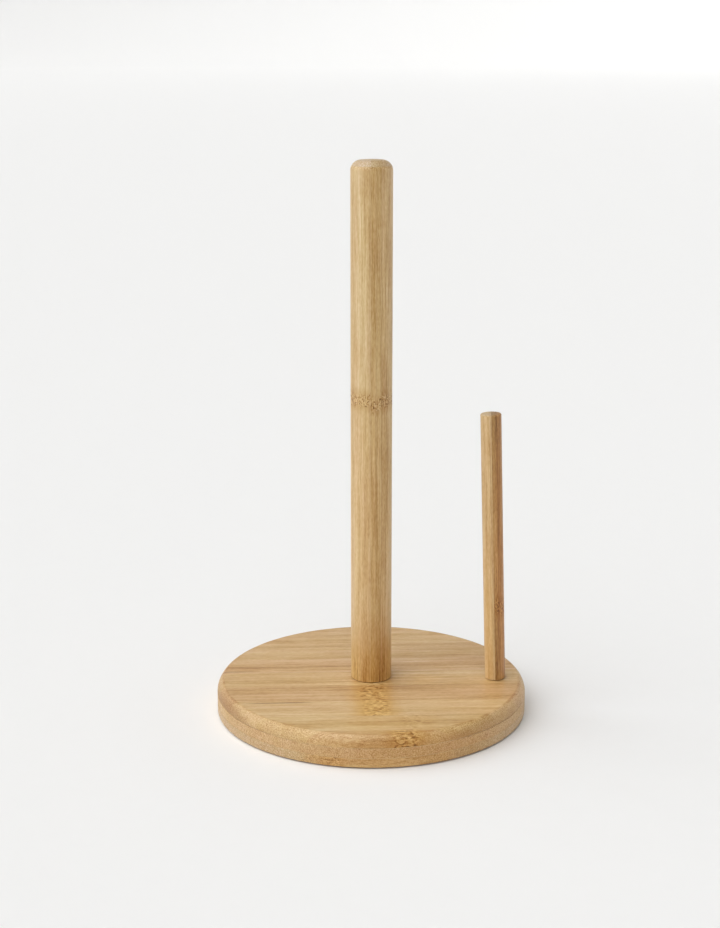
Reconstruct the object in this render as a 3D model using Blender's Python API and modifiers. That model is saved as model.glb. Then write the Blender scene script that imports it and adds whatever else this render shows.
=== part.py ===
"""Kitchen-roll stand in laminated bamboo.

A round three-ply board on four low pads carries a tall centre post with a rounded top.
A thin side arm, about half the height of the post, stands near the rim and leans a little
towards the post. A bolt into a threaded insert holds the post, and a wood screw holds the arm.
Both go in from below.

Metres, +Z up. The origin is on the table, on the axis of the post, and the arm is on the +X side.
"""

import math

import bpy

MM = 0.001

# Overall
STAND_HEIGHT = 300 * MM
FIT_GAP = 0.3 * MM  # clearance between neighbours, where the real pieces are glued, pressed or bolted

# Board: three plies, glued face to face with crossed grain
BOARD_RADIUS = 85 * MM
BOARD_UNDERSIDE = 0.6 * MM  # height of the underside above the table
BOTTOM_PLY = 5.0 * MM
CORE_PLY = 5.1 * MM
TOP_PLY = 6.3 * MM
TOP_FACE_INSET = 3.5 * MM  # how far the rounded rim steps in from the full radius
UNDERSIDE_ARRIS = 0.7 * MM

BOTTOM_PLY_TOP = BOARD_UNDERSIDE + BOTTOM_PLY
CORE_PLY_UNDERSIDE = BOTTOM_PLY_TOP + FIT_GAP
CORE_PLY_TOP = CORE_PLY_UNDERSIDE + CORE_PLY
TOP_PLY_UNDERSIDE = CORE_PLY_TOP + FIT_GAP
BOARD_TOP = TOP_PLY_UNDERSIDE + TOP_PLY

# Centre post
POST_RADIUS = 11.1 * MM
POST_TOP_ROUND = 5.5 * MM
POST_FOOT_ARRIS = 0.25 * MM
POST_FOOT = BOARD_TOP + FIT_GAP

# Side arm, square to its own axis at both ends
ARM_RADIUS = 5.6 * MM
ARM_LENGTH = 149 * MM
ARM_OFFSET = 68.5 * MM  # from the axis of the post, at the face of the board
ARM_LEAN = math.radians(1.9)  # towards the post
ARM_TOP_ROUND = 0.8 * MM
ARM_FOOT_ARRIS = 0.2 * MM
ARM_FOOT_GAP = 0.4 * MM  # under the middle of the foot; the lean closes it on the post's side

# M6 bolt, washer and threaded insert that hold the post
BOLT_RADIUS = 3.0 * MM
BOLT_HEAD_RADIUS = 5.25 * MM
BOLT_HEAD_HEIGHT = 3.3 * MM
BOLT_HEAD_ROUND = 1.8 * MM
BOLT_LENGTH = 30 * MM
BOLT_TIP_CHAMFER = 0.8 * MM
HEX_KEY = 4.0 * MM  # across flats
HEX_KEY_DEPTH = 2.0 * MM
BOLT_HOLE_RADIUS = BOLT_RADIUS + FIT_GAP
WASHER_RADIUS = 6.2 * MM
WASHER_THICKNESS = 1.2 * MM
COUNTERBORE_RADIUS = 7.0 * MM
INSERT_RADIUS = 4.9 * MM
INSERT_ROOT_RADIUS = 4.2 * MM
INSERT_LENGTH = 14 * MM
INSERT_THREADS = 4
INSERT_INSET = 0.6 * MM  # above the foot of the post
POST_BORE_DEPTH = 18 * MM

WASHER_TOP = CORE_PLY_UNDERSIDE - FIT_GAP
BOLT_HEAD_TOP = WASHER_TOP - WASHER_THICKNESS - FIT_GAP

# Wood screw that holds the arm, on the arm's own axis
SCREW_RADIUS = 2.0 * MM
SCREW_HEAD_RADIUS = 4.0 * MM
SCREW_HEAD_RIM = 0.4 * MM
SCREW_HEAD_CONE = 2.2 * MM
SCREW_LENGTH = 35 * MM
SCREW_TIP = 5 * MM
SCREW_HEAD_DEPTH = 16.6 * MM  # from the face of the board down to the face of the head
SCREW_HOLE_RADIUS = SCREW_RADIUS + FIT_GAP
ARM_PILOT_DEPTH = 20 * MM
CROSS_SLOT_LENGTH = 4.2 * MM
CROSS_SLOT_WIDTH = 0.9 * MM
CROSS_SLOT_DEPTH = 1.4 * MM

# Non-slip pads, let into the underside
PAD_COUNT = 4
PAD_RADIUS = 6.0 * MM
PAD_THICKNESS = 1.2 * MM
PAD_EDGE = 0.25 * MM
PAD_CIRCLE_RADIUS = 62 * MM
PAD_FIRST_ANGLE = math.radians(45)

# Smoothness
BOARD_SIDES = 144
POST_SIDES = 64
ARM_SIDES = 48
SMALL_SIDES = 32
ARC_STEP = math.radians(12)
SHARP_ANGLE = math.radians(34)
MERGE_DISTANCE = 0.00001
CUTTER_REACH = 10 * MM  # how far a cutter runs past the face that it opens

# Linear colour, roughness, metallic
BAMBOO_LIGHT = ((0.62, 0.42, 0.22), 0.48, 0.0)
BAMBOO_WARM = ((0.56, 0.35, 0.16), 0.50, 0.0)
BAMBOO_BROWN = ((0.42, 0.25, 0.11), 0.50, 0.0)
ZINC_STEEL = ((0.55, 0.56, 0.58), 0.32, 1.0)
YELLOW_ZINC = ((0.72, 0.58, 0.30), 0.34, 1.0)
PAD_RUBBER = ((0.055, 0.050, 0.047), 0.85, 0.0)


def clear_scene():
    """Remove whatever is in the scene, and any collection left by an earlier run."""
    for old in list(bpy.data.objects):
        bpy.data.objects.remove(old, do_unlink=True)
    for old in list(bpy.data.collections):
        bpy.data.collections.remove(old)


def new_collection(name):
    collection = bpy.data.collections.new(name)
    bpy.context.scene.collection.children.link(collection)
    return collection


def material(name, finish):
    """A plain Principled material: finish is (linear colour, roughness, metallic)."""
    colour, roughness, metallic = finish
    made = bpy.data.materials.new(name)
    made.use_nodes = True
    made.diffuse_color = (*colour, 1.0)
    shader = made.node_tree.nodes["Principled BSDF"]
    shader.inputs["Base Color"].default_value = (*colour, 1.0)
    shader.inputs["Roughness"].default_value = roughness
    shader.inputs["Metallic"].default_value = metallic
    return made


def arc(centre_x, centre_z, radius, start, end):
    """Points (x, z) on a round stretch of a profile, from angle start to angle end."""
    count = max(2, math.ceil(abs(end - start) / ARC_STEP))
    points = []
    for i in range(count + 1):
        angle = start + (end - start) * i / count
        points.append((centre_x + radius * math.cos(angle), centre_z + radius * math.sin(angle)))
    return points


def turned(name, profile, sides, collection, closed=False):
    """A turned shape: profile is (x, z) points that run down the outer side, turned about Z."""
    mesh = bpy.data.meshes.new(name)
    points = [(x, 0.0, z) for x, z in profile]
    edges = [(i, i + 1) for i in range(len(points) - 1)]
    if closed:
        edges.append((len(points) - 1, 0))
    mesh.from_pydata(points, edges, [])
    turned_object = bpy.data.objects.new(name, mesh)
    collection.objects.link(turned_object)
    screw = turned_object.modifiers.new("Turn", "SCREW")
    screw.axis = "Z"
    screw.angle = math.tau
    screw.steps = sides
    screw.render_steps = sides
    screw.use_merge_vertices = True
    screw.merge_threshold = MERGE_DISTANCE
    screw.use_smooth_shade = True
    return turned_object


def hide_cutter(cutter):
    cutter.hide_render = True
    cutter.display_type = "WIRE"
    return cutter


def cylinder_cutter(name, radius, low, high, sides=SMALL_SIDES, spot=(0.0, 0.0), parent=None):
    """An upright cylinder from height low to height high, for cutting with."""
    bpy.ops.mesh.primitive_cylinder_add(vertices=sides, radius=radius, depth=high - low)
    cutter = bpy.context.object
    cutter.name = name
    cutter.location = (spot[0], spot[1], (low + high) / 2)
    cutter.parent = parent
    move_to(cutter, cutters)
    return hide_cutter(cutter)


def box_cutter(name, size, location, turn=0.0, parent=None):
    """A box for cutting with, turned about Z."""
    bpy.ops.mesh.primitive_cube_add(size=1.0)
    cutter = bpy.context.object
    cutter.name = name
    for vertex in cutter.data.vertices:
        vertex.co = (vertex.co.x * size[0], vertex.co.y * size[1], vertex.co.z * size[2])
    cutter.location = location
    cutter.rotation_euler = (0.0, 0.0, turn)
    cutter.parent = parent
    move_to(cutter, cutters)
    return hide_cutter(cutter)


def move_to(item, collection):
    for holder in list(item.users_collection):
        holder.objects.unlink(item)
    collection.objects.link(item)


def cut(piece, cutter):
    boolean = piece.modifiers.new(cutter.name, "BOOLEAN")
    boolean.operation = "DIFFERENCE"
    boolean.solver = "EXACT"
    boolean.object = cutter


def settle(piece, finish):
    """Make the piece's modifiers its own mesh, shade its round faces smooth and give it its finish."""
    graph = bpy.context.evaluated_depsgraph_get()
    mesh = bpy.data.meshes.new_from_object(piece.evaluated_get(graph))
    mesh.name = piece.name
    piece.modifiers.clear()
    piece.data = mesh
    mesh.shade_smooth()
    mesh.set_sharp_from_angle(angle=SHARP_ANGLE)
    mesh.materials.clear()
    mesh.materials.append(finish)
    return piece


def rim_arc():
    """The rounded rim of the top ply: one arc, upright where it meets the core, to the top face."""
    sweep = 2 * math.atan(TOP_FACE_INSET / TOP_PLY)
    radius = TOP_PLY / math.sin(sweep)
    return arc(BOARD_RADIUS - radius, TOP_PLY_UNDERSIDE, radius, sweep, 0.0)


def make_top_ply():
    profile = [(0.0, BOARD_TOP)] + rim_arc() + [(0.0, TOP_PLY_UNDERSIDE)]
    ply = turned("base_top_ply", profile, BOARD_SIDES, parts)
    cut(ply, bolt_hole)
    cut(ply, screw_hole)
    return ply


def make_core_ply():
    profile = [
        (0.0, CORE_PLY_TOP),
        (BOARD_RADIUS, CORE_PLY_TOP),
        (BOARD_RADIUS, CORE_PLY_UNDERSIDE),
        (0.0, CORE_PLY_UNDERSIDE),
    ]
    ply = turned("base_core_ply", profile, BOARD_SIDES, parts)
    cut(ply, bolt_hole)
    cut(ply, screw_hole)
    return ply


def make_bottom_ply():
    arris = arc(
        BOARD_RADIUS - UNDERSIDE_ARRIS,
        BOARD_UNDERSIDE + UNDERSIDE_ARRIS,
        UNDERSIDE_ARRIS,
        0.0,
        -math.pi / 2,
    )
    profile = [(0.0, BOTTOM_PLY_TOP), (BOARD_RADIUS, BOTTOM_PLY_TOP)] + arris + [(0.0, BOARD_UNDERSIDE)]
    ply = turned("base_bottom_ply", profile, BOARD_SIDES, parts)
    cut(ply, counterbore)
    cut(ply, screw_hole)
    cut(ply, countersink)
    for recess in pad_recesses:
        cut(ply, recess)
    return ply


def make_post():
    shoulder = STAND_HEIGHT - POST_TOP_ROUND
    top_round = arc(POST_RADIUS - POST_TOP_ROUND, shoulder, POST_TOP_ROUND, math.pi / 2, 0.0)
    profile = [(0.0, STAND_HEIGHT)] + top_round
    profile += [
        (POST_RADIUS, POST_FOOT + POST_FOOT_ARRIS),
        (POST_RADIUS - POST_FOOT_ARRIS, POST_FOOT),
        (0.0, POST_FOOT),
    ]
    post = turned("centre_post", profile, POST_SIDES, parts)
    cut(post, post_bore)
    return post


def make_arm():
    """The arm stands on its axis empty, whose origin is at the face of the board."""
    foot = ARM_FOOT_GAP
    top = ARM_FOOT_GAP + ARM_LENGTH
    top_round = arc(ARM_RADIUS - ARM_TOP_ROUND, top - ARM_TOP_ROUND, ARM_TOP_ROUND, math.pi / 2, 0.0)
    profile = [(0.0, top)] + top_round
    profile += [
        (ARM_RADIUS, foot + ARM_FOOT_ARRIS),
        (ARM_RADIUS - ARM_FOOT_ARRIS, foot),
        (0.0, foot),
    ]
    arm = turned("side_arm", profile, ARM_SIDES, parts)
    arm.parent = arm_axis
    cut(arm, arm_pilot)
    return arm


def make_bolt():
    """Button-head bolt, head down, with a hexagon socket."""
    head_low = BOLT_HEAD_TOP - BOLT_HEAD_HEIGHT
    crown = arc(
        BOLT_HEAD_RADIUS - BOLT_HEAD_ROUND,
        head_low + BOLT_HEAD_ROUND,
        BOLT_HEAD_ROUND,
        0.0,
        -math.pi / 2,
    )
    tip = BOLT_HEAD_TOP + BOLT_LENGTH
    profile = [
        (0.0, tip),
        (BOLT_RADIUS - BOLT_TIP_CHAMFER, tip),
        (BOLT_RADIUS, tip - BOLT_TIP_CHAMFER),
        (BOLT_RADIUS, BOLT_HEAD_TOP),
        (BOLT_HEAD_RADIUS, BOLT_HEAD_TOP),
    ]
    profile += crown + [(0.0, head_low)]
    bolt = turned("post_bolt", profile, SMALL_SIDES, parts)
    socket_radius = HEX_KEY / 2 / math.cos(math.pi / 6)
    socket = cylinder_cutter(
        "bolt_socket_cutter", socket_radius, head_low - CUTTER_REACH, head_low + HEX_KEY_DEPTH, sides=6
    )
    cut(bolt, socket)
    return bolt


def make_washer():
    low = WASHER_TOP - WASHER_THICKNESS
    profile = [
        (BOLT_HOLE_RADIUS, WASHER_TOP),
        (WASHER_RADIUS, WASHER_TOP),
        (WASHER_RADIUS, low),
        (BOLT_HOLE_RADIUS, low),
    ]
    return turned("post_washer", profile, SMALL_SIDES, parts, closed=True)


def make_insert():
    """Threaded insert: a sleeve whose outer thread is a row of ridges."""
    low = POST_FOOT + INSERT_INSET
    high = low + INSERT_LENGTH
    pitch = INSERT_LENGTH / INSERT_THREADS
    profile = [(BOLT_HOLE_RADIUS, high)]
    for i in range(INSERT_THREADS):
        crest = high - pitch * (i + 0.5)
        profile.append((INSERT_ROOT_RADIUS, high - pitch * i))
        profile.append((INSERT_RADIUS, crest))
    profile.append((INSERT_ROOT_RADIUS, low))
    profile.append((BOLT_HOLE_RADIUS, low))
    return turned("post_insert_nut", profile, SMALL_SIDES, parts, closed=True)


def make_arm_screw():
    """Countersunk wood screw on the arm's axis, head down, with a cross slot."""
    face = -SCREW_HEAD_DEPTH
    cone_end = face + SCREW_HEAD_RIM + SCREW_HEAD_CONE
    tip = face + SCREW_LENGTH
    profile = [
        (0.0, tip),
        (SCREW_RADIUS, tip - SCREW_TIP),
        (SCREW_RADIUS, cone_end),
        (SCREW_HEAD_RADIUS, face + SCREW_HEAD_RIM),
        (SCREW_HEAD_RADIUS, face),
        (0.0, face),
    ]
    screw = turned("arm_screw", profile, SMALL_SIDES, parts)
    screw.parent = arm_axis
    depth = CROSS_SLOT_DEPTH + CUTTER_REACH
    size = (CROSS_SLOT_LENGTH, CROSS_SLOT_WIDTH, depth)
    location = (0.0, 0.0, face + CROSS_SLOT_DEPTH - depth / 2)
    for i in range(2):
        slot = box_cutter(f"cross_slot_cutter_{i + 1}", size, location, turn=i * math.pi / 2, parent=arm_axis)
        cut(screw, slot)
    return screw


def pad_spots():
    for i in range(PAD_COUNT):
        angle = PAD_FIRST_ANGLE + math.tau * i / PAD_COUNT
        yield i + 1, PAD_CIRCLE_RADIUS * math.cos(angle), PAD_CIRCLE_RADIUS * math.sin(angle)


def make_pads(finish):
    """Four round pads, which share one mesh."""
    profile = [
        (0.0, PAD_THICKNESS),
        (PAD_RADIUS, PAD_THICKNESS),
        (PAD_RADIUS, PAD_EDGE),
        (PAD_RADIUS - PAD_EDGE, 0.0),
        (0.0, 0.0),
    ]
    first = settle(turned("foot_pad_1", profile, SMALL_SIDES, parts), finish)
    for number, x, y in pad_spots():
        pad = first
        if number > 1:
            pad = bpy.data.objects.new(f"foot_pad_{number}", first.data)
            parts.objects.link(pad)
        pad.location = (x, y, 0.0)


def make_countersink():
    """The seat of the screw's head, a clearance wider than the head, opening downwards."""
    face = -SCREW_HEAD_DEPTH
    rim = face + SCREW_HEAD_RIM
    widest = SCREW_HEAD_RADIUS + FIT_GAP
    profile = [
        (0.0, rim + SCREW_HEAD_CONE + FIT_GAP),
        (SCREW_HOLE_RADIUS, rim + SCREW_HEAD_CONE + FIT_GAP),
        (widest, rim + FIT_GAP),
        (widest, face - CUTTER_REACH),
        (0.0, face - CUTTER_REACH),
    ]
    cutter = turned("screw_countersink_cutter", profile, SMALL_SIDES, cutters)
    cutter.parent = arm_axis
    return hide_cutter(cutter)


clear_scene()
parts = new_collection("kitchen_roll_stand")
cutters = new_collection("cutters")

arm_axis = bpy.data.objects.new("arm_axis", None)
arm_axis.location = (ARM_OFFSET, 0.0, BOARD_TOP)
arm_axis.rotation_euler = (0.0, -ARM_LEAN, 0.0)
parts.objects.link(arm_axis)

bolt_hole = cylinder_cutter("bolt_hole_cutter", BOLT_HOLE_RADIUS, -CUTTER_REACH, BOARD_TOP + CUTTER_REACH)
counterbore = cylinder_cutter(
    "counterbore_cutter", COUNTERBORE_RADIUS, -CUTTER_REACH, BOTTOM_PLY_TOP + CUTTER_REACH
)
post_bore = cylinder_cutter(
    "post_bore_cutter", INSERT_RADIUS + FIT_GAP, POST_FOOT - CUTTER_REACH, POST_FOOT + POST_BORE_DEPTH
)
screw_hole = cylinder_cutter(
    "screw_hole_cutter", SCREW_HOLE_RADIUS, -BOARD_TOP - CUTTER_REACH, CUTTER_REACH, parent=arm_axis
)
arm_pilot = cylinder_cutter(
    "arm_pilot_cutter", SCREW_HOLE_RADIUS, -CUTTER_REACH, ARM_PILOT_DEPTH, parent=arm_axis
)
countersink = make_countersink()
pad_recesses = []
for number, x, y in pad_spots():
    pad_recess = cylinder_cutter(
        f"pad_recess_cutter_{number}",
        PAD_RADIUS + FIT_GAP,
        -CUTTER_REACH,
        PAD_THICKNESS + FIT_GAP,
        spot=(x, y),
    )
    pad_recesses.append(pad_recess)

pieces = [
    (make_top_ply(), "bamboo_top_ply", BAMBOO_LIGHT),
    (make_core_ply(), "bamboo_core_ply", BAMBOO_WARM),
    (make_bottom_ply(), "bamboo_bottom_ply", BAMBOO_WARM),
    (make_post(), "bamboo_post", BAMBOO_LIGHT),
    (make_arm(), "bamboo_arm", BAMBOO_BROWN),
    (make_bolt(), "bolt_steel", ZINC_STEEL),
    (make_washer(), "washer_steel", ZINC_STEEL),
    (make_insert(), "insert_zinc", YELLOW_ZINC),
    (make_arm_screw(), "screw_zinc", YELLOW_ZINC),
]
bpy.context.view_layer.update()
for piece, finish_name, finish in pieces:
    settle(piece, material(finish_name, finish))
make_pads(material("pad_rubber", PAD_RUBBER))
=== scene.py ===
"""The looks of the bamboo kitchen-roll stand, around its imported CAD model.

Every piece is remade with a finer surface inside the box of the CAD piece that it replaces, and two films
of glue are added. The bamboo is worked out in three dimensions, from the direction of the fibres, so that a
face along the fibres shows streaks and a face across them shows the cut ends. Metres, +Z up, the arm on the
+X side.
"""

import math

import bmesh
import bpy
from mathutils import Matrix, Vector


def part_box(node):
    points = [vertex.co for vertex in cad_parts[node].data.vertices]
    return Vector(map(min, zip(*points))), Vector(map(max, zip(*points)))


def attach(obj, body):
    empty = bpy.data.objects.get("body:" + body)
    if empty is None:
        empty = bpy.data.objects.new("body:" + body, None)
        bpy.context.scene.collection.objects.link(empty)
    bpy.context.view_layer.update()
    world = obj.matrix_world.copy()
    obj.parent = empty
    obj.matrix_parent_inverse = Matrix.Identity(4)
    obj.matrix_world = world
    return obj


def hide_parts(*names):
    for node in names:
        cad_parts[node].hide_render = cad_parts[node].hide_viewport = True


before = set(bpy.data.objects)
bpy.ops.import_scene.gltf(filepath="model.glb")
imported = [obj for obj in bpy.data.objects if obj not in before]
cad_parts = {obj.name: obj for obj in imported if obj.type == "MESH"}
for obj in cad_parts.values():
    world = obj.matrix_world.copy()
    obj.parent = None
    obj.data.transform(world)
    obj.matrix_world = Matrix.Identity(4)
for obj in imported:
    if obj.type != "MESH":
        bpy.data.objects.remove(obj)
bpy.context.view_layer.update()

MM = 0.001

# The CAD pieces that the sizes below are taken from
BOARD_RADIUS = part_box("base_top_ply")[1].x
BOARD_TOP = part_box("base_top_ply")[1].z
TOP_PLY_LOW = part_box("base_top_ply")[0].z
CORE_LOW, CORE_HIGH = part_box("base_core_ply")[0].z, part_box("base_core_ply")[1].z
BOTTOM_LOW, BOTTOM_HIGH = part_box("base_bottom_ply")[0].z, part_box("base_bottom_ply")[1].z
POST_LOW, POST_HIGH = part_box("centre_post")[0].z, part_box("centre_post")[1].z
POST_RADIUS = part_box("centre_post")[1].x
ARM_LOW, ARM_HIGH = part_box("side_arm")
ARM_RADIUS = (ARM_HIGH.y - ARM_LOW.y) / 2

# Details of the wooden pieces
TOP_FACE_INSET = 3.5 * MM
UNDERSIDE_ARRIS = 0.7 * MM
RIM_EASING = 0.9 * MM
JOINT_ARRIS = 0.22 * MM
POST_TOP_ROUND = 5.5 * MM
POST_FOOT_ARRIS = 0.25 * MM
ARM_TOP_ROUND = 0.8 * MM
ARM_FOOT_ARRIS = 0.2 * MM
BOLT_HOLE_RADIUS = 3.3 * MM
COUNTERBORE_RADIUS = 7.0 * MM
POST_BORE_RADIUS = 5.2 * MM
POST_BORE_DEPTH = 18 * MM
SCREW_HOLE_RADIUS = 2.3 * MM
ARM_PILOT_DEPTH = 20 * MM
CLEARANCE = 0.3 * MM
PAD_EASING = 0.3 * MM
PAD_DISH = 0.15 * MM
PAD_DISH_SHARES = (0.62, 0.52, 0.44)  # of the pad's radius: where its dish starts, bends and is level
GLUE_RECESS = 0.35 * MM
CLOSED_GLUE_RECESS = 0.02 * MM
COUNTERBORE_CHAMFER = 0.3 * MM
JOINT_FRONT = 0.90  # the cosine from the front up to which the joint under the top ply is closed
JOINT_SIDE = 0.74  # and from which it is fully open
RIM_STEPS, RIM_EASED_STEPS = 30, 3
ROUND_STEPS, SMALL_ROUND_STEPS, FINE_ROUND_STEPS = 18, 8, 6
BOARD_SIDES = 360
POST_SIDES = 144
ARM_SIDES = 96
SMALL_SIDES = 48
THREAD_STEPS = 8

# Details of the fasteners
BOLT_RADIUS = 3.0 * MM
BOLT_HEAD_HEIGHT = 3.3 * MM
BOLT_HEAD_ROUND = 1.8 * MM
BOLT_HEAD_STEPS = 12
BOLT_TIP_CHAMFER = 0.8 * MM
BOLT_PITCH = 1.0 * MM
BOLT_THREAD_DEPTH = 0.5 * MM
HEX_SOCKET_RADIUS = 2.31 * MM
HEX_SOCKET_DEPTH = 2.0 * MM
INSERT_PITCH = 3.5 * MM
INSERT_THREAD_DEPTH = 0.7 * MM
INSERT_EDGE = 0.4 * MM
INSERT_PLAIN_END = 0.1 * MM
WASHER_ROLLED, WASHER_BROKEN = 0.3 * MM, 0.08 * MM
SCREW_RADIUS = 2.0 * MM
SCREW_TIP = 5.0 * MM
SCREW_HEAD_RIM = 0.4 * MM
SCREW_HEAD_CONE = 2.2 * MM
SCREW_PITCH = 1.8 * MM
SCREW_THREAD_DEPTH = 0.55 * MM
SCREW_PLAIN_SHANK = 7.0 * MM
CROSS_REACH, CROSS_HALF_WIDTH, CROSS_DEPTH = 2.1 * MM, 0.45 * MM, 1.4 * MM
CROSS_FLOOR_REACH, CROSS_FLOOR_HALF_WIDTH = 0.9 * MM, 0.3 * MM
CUT_REACH = 10 * MM
SHARP_ANGLE = math.radians(36)
SAME_PLACE = 1e-7

# The arm leans towards the post: its box is wider than the dowel by what the lean moves its top
ARM_LEAN = math.asin(
    (ARM_HIGH.x - ARM_LOW.x - 2 * ARM_RADIUS) / (ARM_HIGH.z - ARM_LOW.z - ARM_TOP_ROUND - ARM_FOOT_ARRIS)
)
ARM_FOOT = Vector((
    ARM_HIGH.x - ARM_RADIUS * math.cos(ARM_LEAN),
    0.0,
    ARM_LOW.z + (ARM_RADIUS - ARM_FOOT_ARRIS) * math.sin(ARM_LEAN),
))
ARM_RISE = ARM_HIGH.z - ARM_LOW.z - 2 * (ARM_RADIUS - ARM_TOP_ROUND) * math.sin(ARM_LEAN)
ARM_LENGTH = ARM_RISE / math.cos(ARM_LEAN)

# The screw lies on the arm's axis, its head's face lowest
SCREW_LOW, SCREW_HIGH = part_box("arm_screw")
SCREW_HEAD_RADIUS = (SCREW_HIGH.y - SCREW_LOW.y) / 2
SCREW_PLACE = Vector((
    SCREW_HIGH.x - SCREW_HEAD_RADIUS * math.cos(ARM_LEAN),
    0.0,
    SCREW_LOW.z + SCREW_HEAD_RADIUS * math.sin(ARM_LEAN),
))
SCREW_LENGTH = (SCREW_HIGH.z - SCREW_PLACE.z) / math.cos(ARM_LEAN)

# Camera, as the stand is seen: from a little above, with the arm nearly straight to the right
CAMERA_TURN = math.radians(1.9)
CAMERA_PITCH = math.radians(14.11)
CAMERA_ROLL = math.radians(-0.03)
CAMERA_PLACE = Vector((-6.1, -885.5, 361.3)) * MM
LENS_MM = 65.95
SENSOR_MM = 36.0
CLIP_START, CLIP_END = 0.05, 60.0

# Light: an even sky, and one very large soft light high on the left
SKY_STRENGTH = 0.13
KEY_STRENGTH = 3.3
KEY_SIZE = math.radians(100)
KEY_HEIGHT = math.radians(52)
KEY_TURN = math.radians(-62)
KEY_COLOUR = (1.0, 0.998, 0.99)

# Studio: a round floor that curves up all round
PAPER = (0.9, 0.9, 0.897)
FLOOR_RADIUS, BACKDROP_SWEEP, BACKDROP_RISE = 20.0, 5.0, 4.0
FLOOR_SIDES = 96
BACKDROP_STEPS = 24
FLOOR_DROP = 0.05 * MM
BACKDROP_GLOW = 0.015

# A pale haze round the horizon, mostly hidden behind the backdrop as seen from the stand, so that it gives it
# next to no light. It shows where the camera of another view doesn't reach the backdrop.
HAZE_STRENGTH = 0.87
HAZE_LOW = math.radians(8.5)
HAZE_HIGH = math.radians(10.5)

WHITE = (1.0, 1.0, 1.0)


class Field:
    """A number that varies over a surface: a shader node's output. Arithmetic on it adds math nodes."""

    def __init__(self, graph, socket):
        self.graph = graph
        self.socket = socket

    def __add__(self, other):
        return self.graph.math("ADD", self, other)

    def __sub__(self, other):
        return self.graph.math("SUBTRACT", self, other)

    def __rsub__(self, other):
        return self.graph.math("SUBTRACT", other, self)

    def __mul__(self, other):
        return self.graph.math("MULTIPLY", self, other)

    def __truediv__(self, other):
        return self.graph.math("DIVIDE", self, other)

    __radd__ = __add__


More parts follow.
